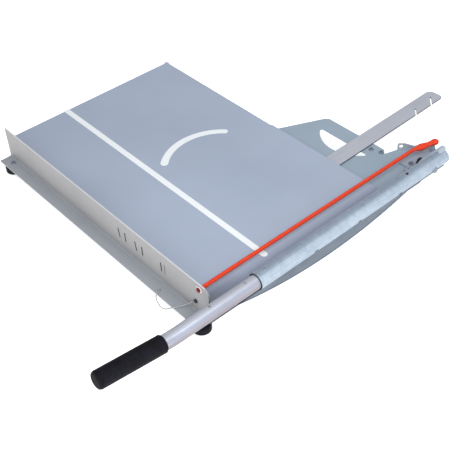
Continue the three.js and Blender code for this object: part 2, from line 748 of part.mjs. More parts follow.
function lockPin() {
  const front = -FENCE_SHEET;
  const spot = [PIN_X, PIN_Z];
  return join(
    rod('y', PIN_RADIUS, front - 2, 22, spot, 24),
    rod('y', 1.4, 21, 24, spot, 24, PIN_RADIUS),
    rod('y', PIN_RADIUS + 1.6, front - 2.2, front - GAP, spot, 28),
    rod('y', PIN_RADIUS + 0.6, front - 2.8, front - 2, spot, 28, PIN_RADIUS + 1.6),
  );
}

function lanyard() {
  const route = new THREE.CatmullRomCurve3([
    vec3(633.4, -4.4, -24.2),
    vec3(630.6, -5.2, -27),
    vec3(627.6, -6.6, -30.4),
    vec3(623, -9.6, -35),
    vec3(618, -14, -39.4),
    vec3(613, -20, -42.2),
    vec3(608, -27, -43.2),
    vec3(602.6, -33.8, -44.8),
    vec3(595.2, -38.4, -49.6),
    vec3(586.4, -40, -54.2),
    vec3(576.8, -39.8, -55.2),
    vec3(567.4, -38.4, -52.2),
    vec3(560.6, -35.6, -46.6),
    vec3(557.6, -31.2, -42.4),
    vec3(556.6, -27, -42.4),
    vec3(556, -23.6, -43.6),
  ]);
  return tubeAlong(route, LANYARD_RADIUS, 4, 44);
}

// ---------------------------------------------------------------- assembly
add('table_top', tableTop(), tablePaint);
add('fence', fence(), platePaint);
add('side_beam', sideBeam(), galvanised);
add('rear_rail', rearRail(), galvanised);
add('centre_rail', centreRail(), galvanised);
add('rear_plate', rearPlate(), tablePaint);
add('handle_brace', handleBrace(), galvanised);
add('counter_blade', counterBlade(), bladeSteel);

const packing = [UNDER_PLATE + GAP, -TABLE_SHEET - GAP];
add('edge_packer', block([652, TABLE_RIGHT - 1], [6, TABLE_DEPTH - 3], packing), galvanised);
add('rail_packer', block([12, 360], [398, 424], packing), galvanised);
const guideHeight = [REAR_PLATE_TOP + GAP, -TABLE_SHEET - GAP];
const guideLength = [GUIDE_START, TABLE_DEPTH - 2];
add('bar_guide_left', block([503.6, 523.6], guideLength, guideHeight), galvanised);
add('bar_guide_right', block([565.2, 585.2], guideLength, guideHeight), galvanised);

for (const [place, spot] of Object.entries(FOOT_SPOTS)) {
  const [x, y, underside, sheet] = spot;
  add(`foot_${place}`, foot(spot), rubber);
  add(`foot_screw_${place}`, panScrew([x, y], underside + sheet, FLOOR + 6), darkSteel);
}

COUNTER_SCREW_YS.forEach((y, i) => {
  const spot = [COUNTER_SCREW_X, y];
  const screw = join(rod('z', 3, -13, -1, spot, 24), rod('z', 3, -3.4, -0.2, spot, 24, 6.6));
  add(`counter_screw_${i + 1}`, screw, darkSteel);
});
HANDLE_BOLTS.forEach((spot, i) => {
  add(`brace_bolt_${i + 1}`, panScrew(spot, REAR_PLATE_TOP, UNDER_PLATE - 6), darkSteel);
});
BRACKET_BOLTS.forEach((spot, i) => {
  add(`bracket_bolt_${i + 1}`, hexBolt(spot, REAR_PLATE_TOP + GAP + EAR_THICK, -14), darkSteel);
});

add('pivot_bracket', pivotBracket(), tablePaint);
const pivotSpot = [PIVOT_Y, PIVOT_Z];
const earInside = EAR_LEFT - GAP;
add(
  'pivot_bolt',
  join(
    rod('x', PIVOT_RADIUS, earInside - 5.5, ARM_X + SLEEVE_TIP_RADIUS + 1, pivotSpot, 24),
    rod('x', 6.4, ARM_X + SLEEVE_TIP_RADIUS + GAP, ARM_X + SLEEVE_TIP_RADIUS + 2.2, pivotSpot, 28, 5),
  ),
  darkSteel,
);
add(
  'pivot_nut',
  cut(
    prism(hexagon(15), 'x', earInside - 5, earInside).translate(0, PIVOT_Y, PIVOT_Z),
    rod('x', PIVOT_RADIUS + 0.3, earInside - 6, earInside + 1, pivotSpot, 24),
  ),
  zinc,
);
add('eye_tab', eyeTab(), galvanised);
add('cord_post', cordPost(), zinc);
add('elastic_cord', elasticCord(), orangeCord);
add('cord_loop', cordLoop(), orangeCord);
add(
  'cord_grommet',
  cut(
    rod('y', 6.4, GROMMET_FACE - 1.2, GROMMET_FACE, [CORD_X, CORD_HOLE_Z], 28, 7.6),
    rod('y', CORD_RADIUS + 0.6, GROMMET_FACE - 2, GROMMET_FACE + 1, [CORD_X, CORD_HOLE_Z], 24),
  ),
  zinc,
);
add(
  'cord_knot',
  new THREE.SphereGeometry(4.6, 20, 12)
    .scale(1, 0.34, 1)
    .translate(CORD_X, GROMMET_FACE - 1.2 - GAP - 4.6 * 0.34, CORD_HOLE_Z),
  orangeCord,
);
add(
  'lanyard_anchor',
  join(
    rod('z', 1.7, FENCE_BOTTOM - 1, FENCE_BOTTOM + FENCE_SHEET + 1, ANCHOR, 16),
    rod('z', 3.6, FENCE_BOTTOM + FENCE_SHEET + GAP / 2, FENCE_BOTTOM + FENCE_SHEET + 2.2, ANCHOR, 20, 2.4),
  ),
  zinc,
);
add('lanyard', lanyard(), wireSteel);
add('arm_stop', block([690, SHEAR_X - 1], [-4, 18], [GAP, 2.35]), rubber);

add('stop_bar', stopBar(), galvanised);
add('lock_pin', lockPin(), darkSteel);

const arm = new THREE.Group();
shear.add(arm);
add('arm_sleeve', armSleeve(), galvanised, arm);
add('handle_tube', handleTube(), polished, arm);
add('core_bar', coreBar(), bladeSteel, arm);
add('pivot_boss', pivotBoss(), bladeSteel, arm);
add('blade', blade(), bladeSteel, arm);
add('grip', grip(), rubber, arm);
for (const [name, y] of Object.entries(ARM_SCREW_YS)) {
  const seat = ARM_Z + (name.startsWith('sleeve') ? sleeveRadius(y) : TUBE_RADIUS);
  const tip = name === 'sleeve_screw_rear' ? BLADE_TOP + 2 : ARM_Z;
  add(name, dropped(panScrew([ARM_X, y], seat, tip, ARM_SCREW_RADIUS, 2.9, 1.3)), zinc, arm);
}
BLADE_RIVET_YS.forEach((y, i) => {
  const reach = sleeveRadius(y) + 0.1;
  const spot = [y, BLADE_RIVET_Z];
  const rivet = join(
    rod('x', 3, ARM_X - reach, ARM_X + reach, spot, 20),
    rod('x', 4.4, ARM_X + reach - 0.1, ARM_X + reach + 0.8, spot, 20, 3.2),
    rod('x', 3.2, ARM_X - reach - 0.8, ARM_X - reach + 0.1, spot, 20, 4.4),
  );
  add(`blade_rivet_${i + 1}`, rivet, zinc, arm);
});

// The whole tool stands on Z = 0, with the middle of its outer box over the origin.
const outerBox = new THREE.Box3().setFromObject(shear, true);
const middle = outerBox.getCenter(vec3());
shear.position.set(-middle.x, -middle.y, -FLOOR);

export default shear;
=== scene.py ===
"""A lever shear for roofing tiles and slates, on a pale studio floor."""
import json
import math

import bmesh
import bpy
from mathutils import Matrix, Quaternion, Vector


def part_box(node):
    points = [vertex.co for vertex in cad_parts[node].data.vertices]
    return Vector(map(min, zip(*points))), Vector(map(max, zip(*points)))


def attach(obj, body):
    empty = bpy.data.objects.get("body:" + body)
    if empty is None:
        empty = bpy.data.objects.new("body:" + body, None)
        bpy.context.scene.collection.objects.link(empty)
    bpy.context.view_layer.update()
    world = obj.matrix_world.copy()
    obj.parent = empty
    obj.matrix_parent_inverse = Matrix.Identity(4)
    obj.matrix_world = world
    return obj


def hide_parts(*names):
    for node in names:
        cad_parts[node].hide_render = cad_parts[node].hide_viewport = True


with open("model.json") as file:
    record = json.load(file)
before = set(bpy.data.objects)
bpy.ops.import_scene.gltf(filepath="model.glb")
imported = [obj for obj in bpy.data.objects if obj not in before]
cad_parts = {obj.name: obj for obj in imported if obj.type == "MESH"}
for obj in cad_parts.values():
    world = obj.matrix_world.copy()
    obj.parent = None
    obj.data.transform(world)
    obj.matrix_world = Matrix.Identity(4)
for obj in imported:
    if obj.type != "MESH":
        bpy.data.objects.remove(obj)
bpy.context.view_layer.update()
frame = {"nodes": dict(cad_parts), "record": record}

# ---------------------------------------------------------------- places, from the frame
MM = 0.001

TABLE_LOW, TABLE_HIGH = (Vector(corner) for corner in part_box("table_top"))
FENCE_HIGH = Vector(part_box("fence")[1])
# the table's front left corner, on its top face at the fence
CORNER = Vector((TABLE_LOW.x, FENCE_HIGH.y, TABLE_HIGH.z))


def at(x, y, z=0.0):
    """A point given in millimetres from the table's front left corner."""
    return CORNER + Vector((x, y, z)) * MM


# Where tones change. Lengths are in millimetres, and places are from that corner.
FENCE_FRONT, FENCE_BACK = -2.45, -0.05  # just inside the fence's two faces
SLOTS_BOTTOM, SLOTS_TOP = -18.5, 4.5
LEDGE_TOP = -43.5
FENCE_CREST = 26.6
BRACKET_CREST = 23.3
STOP_BAR_SIDES = -2.35  # below the bar's top face
STRIP_LEFT, STRIP_RIGHT = 648, 668  # the painted shadow of the arm darkens the table from one to the other
# the painted shadow of the arm is deepest in this corner by the fence
CORNER_SHADE_LEFT, CORNER_SHADE_RIGHT = 640, 660
CORNER_SHADE_NEAR, CORNER_SHADE_FAR = 10, 90
COUNTER_DARK_END, COUNTER_PALE_END = 20, 260  # along the fixed bar, where its painted shadow of the arm fades

ARM_X, ARM_PIVOT_Y, ARM_LINE_Z = 705, 546, 21.5  # a point on the arm's middle line
ARM_DROP = 0.5  # degrees, towards the handle
TUBE_REACH = 14  # from the middle line to the handle tube's crest, about
SLEEVE_REACH = 16  # the same for the sleeve
SLEEVE_START = 80
SLEEVE_BORE = 15.5  # at its mouth: between the sleeve's inner and outer face
SLEEVE_TAPER = 0.00236  # what each millimetre towards the pivot takes off that
BLADE_ARC_Y, BLADE_ARC_Z, BLADE_ARC_RADIUS = 253.5, 889.5, 912.8  # where the blade's bevel starts


# ---------------------------------------------------------------- camera
def add_camera():
    """Looks down on the table from its front right."""
    data = bpy.data.cameras.new("camera")
    data.lens = 72.6
    data.sensor_width = 36.0
    data.clip_end = 20.0
    camera = bpy.data.objects.new("camera", data)
    bpy.context.collection.objects.link(camera)
    forward = Vector((-0.58330, 0.46985, -0.66257))
    level = forward.to_track_quat("-Z", "Y")
    roll = Quaternion(forward, math.radians(3.42))
    camera.rotation_mode = "QUATERNION"
    camera.rotation_quaternion = roll @ level
    camera.location = at(1542.17, -655.32, 1138.01)
    bpy.context.scene.camera = camera


add_camera()


# ---------------------------------------------------------------- lanyard
LANYARD_RADIUS = 1.1
LANYARD_ROUTE = [
    (633.4, -4.4, -24.2),
    (632.0, -4.8, -25.6),
    (630.6, -5.2, -27.0),
    (627.6, -6.6, -30.4),
    (623.0, -9.6, -35.0),
    (618.0, -14.0, -39.4),
    (613.0, -20.0, -42.2),
    (608.0, -27.0, -43.2),
    (602.6, -33.8, -44.8),
    (595.2, -38.4, -49.6),
    (586.4, -40.0, -54.2),
    (576.8, -39.8, -55.2),
    (567.4, -38.4, -52.2),
    (560.6, -35.6, -46.6),
    (557.6, -31.2, -42.4),
    (556.6, -27.0, -42.4),
    (556.0, -23.6, -43.6),
]


def add_lanyard():
    """The wire that ties the lock pin to the ledge, as a curve of one spline."""
    points = [at(*place) for place in LANYARD_ROUTE]
    data = bpy.data.curves.new("lanyard_wire", "CURVE")
    data.dimensions = "3D"
    data.bevel_depth = 1.0  # times each point's radius
    data.bevel_resolution = 3
    data.use_fill_caps = True
    spline = data.splines.new("POLY")
    spline.points.add(len(points) - 1)
    for target, point in zip(spline.points, points):
        target.co = (*point, 1.0)
        target.radius = LANYARD_RADIUS * MM
    wire = bpy.data.objects.new("lanyard_wire", data)
    bpy.context.collection.objects.link(wire)
    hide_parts("lanyard")
    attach(wire, "base")
    return wire


lanyard_wire = add_lanyard()


# ---------------------------------------------------------------- material helpers
def rgb(red, green, blue):
    """An sRGB colour, 0 to 255, as the linear one that shaders use."""
    def linear(value):
        value /= 255
        return value / 12.92 if value <= 0.04045 else ((value + 0.055) / 1.055) ** 2.4
    return (linear(red), linear(green), linear(blue), 1.0)


class Nodes:
    """A material's node tree, built a call at a time."""

    def __init__(self, name, metallic=0.0, roughness=0.5, specular=0.5):
        self.material = bpy.data.materials.new(name)
        self.material.use_nodes = True
        self.tree = self.material.node_tree
        self.shader = self.tree.nodes["Principled BSDF"]
        self.shader.inputs["Metallic"].default_value = metallic
        self.shader.inputs["Roughness"].default_value = roughness
        self.shader.inputs["Specular IOR Level"].default_value = specular

    def add(self, kind, **settings):
        node = self.tree.nodes.new("ShaderNode" + kind)
        for name, value in settings.items():
            setattr(node, name, value)
        return node

    def link(self, output, target):
        self.tree.links.new(output, target)

    def place(self):
        """Object coordinates: the row's frame, in metres, for CAD nodes and pieces alike."""
        return self.add("TexCoord").outputs["Object"]

    def axis(self, letter):
        """One of those coordinates."""
        split = self.add("SeparateXYZ")
        self.link(self.place(), split.inputs["Vector"])
        return split.outputs[letter]

    def between(self, value, low, high):
        """One where the value lies between low and high, and nothing elsewhere."""
        above = self.math("GREATER_THAN", value, low)
        below = self.math("LESS_THAN", value, high)
        return self.math("MULTIPLY", above, below)

    def hypotenuse(self, first, second):
        """The long side over two that meet at a right angle."""
        squares = self.math("ADD", self.math("POWER", first, 2), self.math("POWER", second, 2))
        return self.math("SQRT", squares)

    def stretched(self, scale):
        """Object coordinates times a scale for each axis."""
        mapping = self.add("Mapping")
        mapping.inputs["Scale"].default_value = scale
        self.link(self.place(), mapping.inputs["Vector"])
        return mapping.outputs["Vector"]

    def noise(self, scale, detail=3.0, vector=None, roughness=0.5):
        node = self.add("TexNoise")
        node.inputs["Scale"].default_value = scale
        node.inputs["Detail"].default_value = detail
        node.inputs["Roughness"].default_value = roughness
        self.link(vector or self.place(), node.inputs["Vector"])
        return node.outputs["Fac"]

    def ramp(self, value, stops):
        """Colours at positions along a value; each stop is (position, colour)."""
        node = self.add("ValToRGB")
        elements = node.color_ramp.elements
        while len(elements) < len(stops):
            elements.new(1.0)
        for element, (position, colour) in zip(elements, stops):
            element.position = position
            element.color = colour
        self.link(value, node.inputs["Fac"])
        return node.outputs["Color"]

    def range(self, value, from_low, from_high, to_low, to_high):
        node = self.add("MapRange")
        node.inputs["From Min"].default_value = from_low
        node.inputs["From Max"].default_value = from_high
        node.inputs["To Min"].default_value = to_low
        node.inputs["To Max"].default_value = to_high
        self.link(value, node.inputs["Value"])
        return node.outputs["Result"]

    def math(self, operation, first, second=0.0):
        node = self.add("Math", operation=operation)
        for socket, value in zip(node.inputs, (first, second)):
            if isinstance(value, (int, float)):
                socket.default_value = value
            else:
                self.link(value, socket)
        return node.outputs["Value"]

    def mix(self, factor, first, second, blend="MIX"):
        node = self.add("Mix", data_type="RGBA", blend_type=blend)
        for socket, value in zip((node.inputs[0], node.inputs[6], node.inputs[7]), (factor, first, second)):
            if isinstance(value, (int, float, tuple)):
                socket.default_value = value
            else:
                self.link(value, socket)
        return node.outputs[2]

    def bump(self, height, strength, distance):
        node = self.add("Bump")
        node.inputs["Strength"].default_value = strength
        node.inputs["Distance"].default_value = distance
        self.link(height, node.inputs["Height"])
        self.link(node.outputs["Normal"], self.shader.inputs["Normal"])

    def colour(self, value):
        self.link(value, self.shader.inputs["Base Color"])

    def rough(self, value):
        self.link(value, self.shader.inputs["Roughness"])


def painted(name, colour, spread=5, finish=None):
    """Satin powder coat: a fine orange peel over faint clouds of tone."""
    nodes = Nodes(name, metallic=0.0, roughness=0.42)
    dark = rgb(*(value - spread for value in colour))
    pale = rgb(*(value + spread for value in colour))
    tone = nodes.ramp(nodes.noise(4.0, 4.0), [(0.3, dark), (0.5, rgb(*colour)), (0.72, pale)])
    nodes.colour(finish(nodes, tone) if finish else tone)
    nodes.rough(nodes.range(nodes.noise(30.0, 3.0), 0.3, 0.7, 0.4, 0.54))
    nodes.bump(nodes.noise(1400.0, 2.0), 0.12, 0.0002)
    return nodes.material


def metal(name, colour, dark, roughness, grain=(300.0, 8.0, 300.0), mottle=25.0, metallic=1.0, finish=None):
    """Rolled or drawn steel: fine lines along one axis over a soft mottle."""
    nodes = Nodes(name, metallic=metallic, roughness=roughness)
    cloud = nodes.noise(mottle, 4.0)
    lines = nodes.noise(1.0, 3.0, nodes.stretched(grain))
    mixed = nodes.math("ADD", nodes.math("MULTIPLY", cloud, 0.6), nodes.math("MULTIPLY", lines, 0.4))
    tone = nodes.ramp(mixed, [(0.3, dark), (0.62, colour)])
    nodes.colour(finish(nodes, tone) if finish else tone)
    nodes.rough(nodes.range(mixed, 0.3, 0.7, roughness + 0.08, roughness - 0.06))
    nodes.bump(lines, 0.08, 0.0002)
    return nodes.material


def fence_edges(nodes, tone):
    """Painted shade inside the slots, in brown, a cooler ledge, and a painted highlight on the upper edge.
    """
    inside = nodes.between(nodes.axis("Y"), at(0, FENCE_FRONT).y, at(0, FENCE_BACK).y)
    slots = nodes.between(nodes.axis("Z"), at(0, 0, SLOTS_BOTTOM).z, at(0, 0, SLOTS_TOP).z)
    # painted shade on the slot walls, in brown
    slot_shade = nodes.mix(nodes.math("MULTIPLY", inside, slots), tone, rgb(58, 52, 50))
    ledge = nodes.math("LESS_THAN", nodes.axis("Z"), at(0, 0, LEDGE_TOP).z)
    cooler = nodes.mix(nodes.math("MULTIPLY", ledge, 0.5), slot_shade, rgb(150, 160, 172))
    # painted highlight along the fence's upper edge
    crest = nodes.math("GREATER_THAN", nodes.axis("Z"), at(0, 0, FENCE_CREST).z)
    return nodes.mix(crest, cooler, rgb(214, 216, 220))


def arm_shadow_strip(nodes, tone):
    """Painted shadow of the arm: a darker strip along the table's right edge, darkest at the fence."""
    strip = nodes.ramp(
        nodes.range(nodes.axis("X"), at(STRIP_LEFT, 0).x, at(STRIP_RIGHT, 0).x, 0.0, 1.0),
        [(0.0, rgb(255, 255, 255)), (1.0, rgb(212, 216, 222))],
    )
    left, right = at(CORNER_SHADE_LEFT, 0).x, at(CORNER_SHADE_RIGHT, 0).x
    beside = nodes.range(nodes.axis("X"), left, right, 0.0, 1.0)
    near = nodes.range(nodes.axis("Y"), at(0, CORNER_SHADE_FAR).y, at(0, CORNER_SHADE_NEAR).y, 0.0, 1.0)
    darker = nodes.mix(1.0, tone, strip, "MULTIPLY")
    # painted shadow of the arm, deepest at the fence corner
    return nodes.mix(nodes.math("MULTIPLY", beside, near), darker, rgb(116, 126, 142))


def sleeve_mouth_shade(nodes, tone):
    """Painted shade on the cut end of the sleeve, where the handle tube goes in."""
    mouth_shade = nodes.math("LESS_THAN", nodes.axis("Y"), at(0, SLEEVE_START + 0.9).y)
    # painted shade over the sleeve's end face
    return nodes.mix(mouth_shade, tone, rgb(52, 56, 62))


def ground_bevel(nodes, tone):
    """A darker bevel that follows the blade's curved cutting edge."""
    across = nodes.math("SUBTRACT", nodes.axis("Y"), at(0, BLADE_ARC_Y).y)
    down = nodes.math("SUBTRACT", nodes.axis("Z"), at(0, 0, BLADE_ARC_Z).z)
    bevel = nodes.math("GREATER_THAN", nodes.hypotenuse(across, down), BLADE_ARC_RADIUS * MM)
    return nodes.mix(bevel, tone, rgb(84, 92, 104))


def above_arm(nodes):
    """Height over the arm's middle line, which drops towards the handle."""
    drop = math.tan(math.radians(ARM_DROP))
    line = nodes.math("MULTIPLY", nodes.math("SUBTRACT", nodes.axis("Y"), at(0, ARM_PIVOT_Y).y), drop)
    over = nodes.math("SUBTRACT", nodes.axis("Z"), at(0, 0, ARM_LINE_Z).z)
    return nodes.math("SUBTRACT", over, line)


def tube_light_and_shade(nodes, tone):
    """Painted shade makes the tube's underside warm and dull, and a painted highlight makes its crest
    bright.
    """
    share = nodes.range(above_arm(nodes), -TUBE_REACH * MM, TUBE_REACH * MM, 0.0, 1.0)
    shade = nodes.ramp(
        share,
        [
            (0.15, rgb(140, 130, 126)),
            (0.43, rgb(176, 166, 164)),
            (0.61, rgb(190, 182, 182)),
            (0.75, rgb(214, 212, 218)),
            (0.9, rgb(216, 220, 228)),
            (0.985, rgb(255, 255, 255)),
        ],
    )
    return nodes.mix(1.0, tone, shade, "MULTIPLY")


def spangled(nodes, tone, scale=130.0):
    """Patches like the crystals of a zinc coating, each a little lighter or darker."""
    cells = nodes.add("TexVoronoi")
    cells.inputs["Scale"].default_value = scale
    nodes.link(nodes.place(), cells.inputs["Vector"])
    split = nodes.add("SeparateColor")
    nodes.link(cells.outputs["Color"], split.inputs["Color"])
    patch = nodes.ramp(split.outputs["Red"], [(0.0, rgb(240, 241, 242)), (1.0, rgb(255, 255, 255))])
    return nodes.mix(1.0, tone, patch, "MULTIPLY")


def sleeve_bore(nodes, tone):
    """Painted shade on the inside of the tapering sleeve, darker than its outside."""
    aside = nodes.math("SUBTRACT", nodes.axis("X"), at(ARM_X, 0).x)
    along = nodes.math("SUBTRACT", nodes.axis("Y"), at(0, SLEEVE_START).y)
    taper = nodes.math("MULTIPLY", along, SLEEVE_TAPER)
    reach = nodes.math("ADD", nodes.hypotenuse(aside, above_arm(nodes)), taper)
    # painted shade inside the bore
    return nodes.mix(nodes.math("LESS_THAN", reach, SLEEVE_BORE * MM), tone, rgb(40, 50, 62))


def sleeve_spangle_and_shading(nodes, tone):
    """Painted light on the sleeve: a bright flank between a crest and underside in painted shade, over the
    spangle, and painted shade in the mouth and bore.
    """
    share = nodes.range(above_arm(nodes), -SLEEVE_REACH * MM, SLEEVE_REACH * MM, 0.0, 1.0)
    shade = nodes.ramp(
        share,
        [
            (0.4, rgb(230, 231, 233)),
            (0.7, rgb(242, 244, 246)),
            (0.86, rgb(255, 255, 255)),
            (0.93, rgb(246, 249, 252)),
            (0.965, rgb(224, 227, 233)),
        ],
    )
    shaded = nodes.mix(1.0, spangled(nodes, tone), shade, "MULTIPLY")
    return sleeve_bore(nodes, sleeve_mouth_shade(nodes, shaded))


def counter_arm_shadow(nodes, tone):
    """The fixed bar is darker towards its front end: a painted shadow of the arm."""
    share = nodes.range(nodes.axis("Y"), at(0, COUNTER_DARK_END).y, at(0, COUNTER_PALE_END).y, 0.0, 1.0)
    shade = nodes.ramp(share, [(0.0, rgb(92, 90, 92)), (0.4, rgb(160, 164, 172)), (1.0, rgb(214, 218, 226))])
    return nodes.mix(1.0, tone, shade, "MULTIPLY")


def bracket_crest_highlight(nodes, tone):
    """A painted highlight on the bracket's upper edge, a little lighter than its sides."""
    crest = nodes.math("GREATER_THAN", nodes.axis("Z"), at(0, 0, BRACKET_CREST).z)
    return nodes.mix(crest, tone, rgb(158, 174, 188))


def bar_side_shade(nodes, tone):
    """Painted shade on the bar's sheared sides, darker than its faces."""
    below = nodes.math("LESS_THAN", nodes.axis("Z"), at(0, 0, STOP_BAR_SIDES).z)
    return nodes.mix(below, tone, rgb(44, 48, 56))


def moulded_rubber(name, colour, pale):
    """Dull rubber with a fine grain."""
    nodes = Nodes(name, roughness=0.8, specular=0.2)
    nodes.colour(nodes.ramp(nodes.noise(60.0, 4.0), [(0.35, colour), (0.7, pale)]))
    nodes.rough(nodes.range(nodes.noise(150.0, 2.0), 0.3, 0.7, 0.7, 0.85))
    nodes.bump(nodes.noise(1800.0, 3.0), 0.3, 0.0002)
    return nodes.material


def threads(nodes, along, around, distortion):
    """One set of a braid's slanting threads."""
    wave = nodes.add("TexWave", wave_type="BANDS", bands_direction="DIAGONAL")
    wave.inputs["Scale"].default_value = 1.0
    wave.inputs["Distortion"].default_value = distortion
    nodes.link(nodes.stretched((0.0, along, around)), wave.inputs["Vector"])
    return wave.outputs["Fac"]


def braided(name, colour, pale, dark, along, around):
    """Braid on a cord that lies along Y: two sets of slanting threads."""
    nodes = Nodes(name, roughness=0.7, specular=0.3)
    weave = nodes.math("MAXIMUM", threads(nodes, along, around, 0.6), threads(nodes, along, -around, 0.0))
    nodes.colour(nodes.ramp(weave, [(0.35, dark), (0.65, colour), (0.95, pale)]))
    nodes.bump(weave, 0.5, 0.0006)
    return nodes.material


# ---------------------------------------------------------------- materials
EVEN = (200.0, 200.0, 200.0)  # a grain that runs no one way
FINE = (900.0, 900.0, 900.0)

TABLE_PAINT = painted("table_paint", (168, 180, 201), 5, arm_shadow_strip)
PLATE_PAINT = painted("plate_paint", (152, 169, 185))
BRACKET_PAINT = painted("bracket_paint", (158, 168, 184), 5, bracket_crest_highlight)
FENCE_PAINT = painted("fence_paint", (160, 160, 162), 5, fence_edges)
GALVANISED = metal(
    "galvanised", rgb(198, 206, 216), rgb(176, 185, 198), 0.5, (260.0, 6.0, 260.0), metallic=0.4
)
SLEEVE_STEEL = metal(
    "sleeve_steel", rgb(190, 204, 218), rgb(164, 180, 196), 0.5, (260.0, 5.0, 260.0), 9.0, 0.4, sleeve_spangle_and_shading
)
BAR_STEEL = metal(
    "bar_steel", rgb(196, 200, 212), rgb(182, 186, 198), 0.55, (220.0, 7.0, 220.0), 12.0, 0.25, bar_side_shade
)
RAIL_STEEL = metal(
    "rail_steel", rgb(190, 197, 206), rgb(168, 175, 185), 0.5, (6.0, 260.0, 260.0), metallic=0.5
)
POLISHED = metal(
    "polished_tube", rgb(212, 217, 230), rgb(196, 201, 212), 0.42, (500.0, 10.0, 500.0), 14.0, 0.6, tube_light_and_shade
)
BLADE_STEEL = metal(
    "blade_steel", rgb(128, 138, 152), rgb(108, 118, 132), 0.46, (400.0, 5.0, 400.0), 25.0, 0.4, counter_arm_shadow
)
CURVED_BLADE = metal(
    "curved_blade", rgb(104, 115, 128), rgb(90, 101, 113), 0.46, (400.0, 5.0, 400.0), 25.0, 0.4, ground_bevel
)
DARK_STEEL = metal("dark_steel", rgb(70, 76, 84), rgb(46, 50, 56), 0.46, EVEN, 90.0)
PLATED_BOLT = metal("plated_bolt", rgb(132, 142, 156), rgb(110, 120, 134), 0.5, EVEN, 90.0, 0.5)
ZINC = metal("zinc", rgb(176, 184, 190), rgb(146, 154, 162), 0.42, EVEN, 90.0, 0.7)
WIRE = metal("wire_strand", rgb(190, 194, 196), rgb(150, 154, 156), 0.45, FINE, 200.0, 0.5)
RUBBER = moulded_rubber("rubber", rgb(9, 9, 16), rgb(18, 19, 30))
ORANGE = braided("orange_braid", rgb(250, 50, 28), rgb(255, 92, 52), rgb(190, 34, 20), 900.0, 700.0)
KNOT = braided("knot_braid", rgb(118, 34, 28), rgb(150, 52, 40), rgb(78, 20, 16), 900.0, 700.0)
GROMMET = metal("grommet", rgb(232, 222, 222), rgb(206, 196, 197), 0.5, EVEN, 90.0, 0.1)
WHITE_PAINT = painted("white_mark", (245, 250, 254), 3)

BY_SLOT = {
    "table_paint": TABLE_PAINT,
    "fence_paint": FENCE_PAINT,
    "galvanised": GALVANISED,
    "polished_tube": POLISHED,
    "blade_steel": BLADE_STEEL,
    "dark_steel": DARK_STEEL,
    "zinc_steel": ZINC,
    "black_rubber": RUBBER,
    "orange_cord": ORANGE,
    "wire_rope": WIRE,
}
BY_NODE = {
    "rear_plate": PLATE_PAINT,
    "cord_post": PLATE_PAINT,
    "pivot_bracket": BRACKET_PAINT,
    "rear_rail": RAIL_STEEL,
    "arm_sleeve": SLEEVE_STEEL,
    "stop_bar": BAR_STEEL,
    "cord_knot": KNOT,
    "cord_grommet": GROMMET,
    "sleeve_screw_rear": DARK_STEEL,
    "pivot_nut": DARK_STEEL,
    **dict.fromkeys(("blade", "blade_rivet_1", "blade_rivet_2", "blade_rivet_3"), CURVED_BLADE),
    **dict.fromkeys(("pivot_bolt", "brace_bolt_1", "brace_bolt_2"), PLATED_BOLT),
    **dict.fromkeys(("bracket_bolt_1", "bracket_bolt_2"), PLATED_BOLT),
    **dict.fromkeys(("foot_screw_front_left", "foot_screw_front_right"), PLATED_BOLT),
}


def give(obj, material):
    """Makes this the object's only material."""
    obj.data.materials.clear()
    obj.data.materials.append(material)


def paint_cad_nodes():
    for entry in frame["record"]["subparts"]:
        name = entry["node"]
        give(frame["nodes"][name], BY_NODE.get(name, BY_SLOT[entry["material_slot"]]))


paint_cad_nodes()
give(lanyard_wire, WIRE)


# ---------------------------------------------------------------- mesh helpers
def piece(name, mesh, material, body="base"):
    """A mesh object, in place, riding on a CAD body."""
    obj = bpy.data.objects.new(name, mesh)
    bpy.context.collection.objects.link(obj)
    give(obj, material)
    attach(obj, body)
    return obj


def slab(name, outline, bottom, top):
    """A flat outline in (x, y) millimetres, raised from bottom to top."""
    mesh = bmesh.new()
    low = [mesh.verts.new(at(x, y, bottom)) for x, y in outline]
    high = [mesh.verts.new(at(x, y, top)) for x, y in outline]
    mesh.faces.new(list(reversed(low)))
    mesh.faces.new(high)
    for i in range(len(outline)):
        j = (i + 1) % len(outline)
        mesh.faces.new((low[i], low[j], high[j], high[i]))
    data = bpy.data.meshes.new(name)
    mesh.to_mesh(data)
    mesh.free()
    return data


def arc(centre, radius, start, end, steps):
    """Points on a circle's arc, angles in degrees."""
    angles = [math.radians(start + (end - start) * i / max(steps, 1)) for i in range(steps + 1)]
    return [(centre[0] + radius * math.cos(a), centre[1] + radius * math.sin(a)) for a in angles]


# ---------------------------------------------------------------- marks on the table
MARK_BOTTOM, MARK_TOP = 0.05, 0.25
LINE_LEFT, LINE_RIGHT = 0.5, 657
LINE_MIDDLE = 150.3
LINE_WIDTH = 12.8


def straight_mark():
    """A white line across the table, with a round end by the cord."""
    half = LINE_WIDTH / 2
    outline = [
        (LINE_LEFT, LINE_MIDDLE - half),
        *arc((LINE_RIGHT - half, LINE_MIDDLE), half, -90, 90, 10),
        (LINE_LEFT, LINE_MIDDLE + half),
    ]
    mark = piece("straight_mark", slab("straight_mark", outline, MARK_BOTTOM, MARK_TOP), WHITE_PAINT)


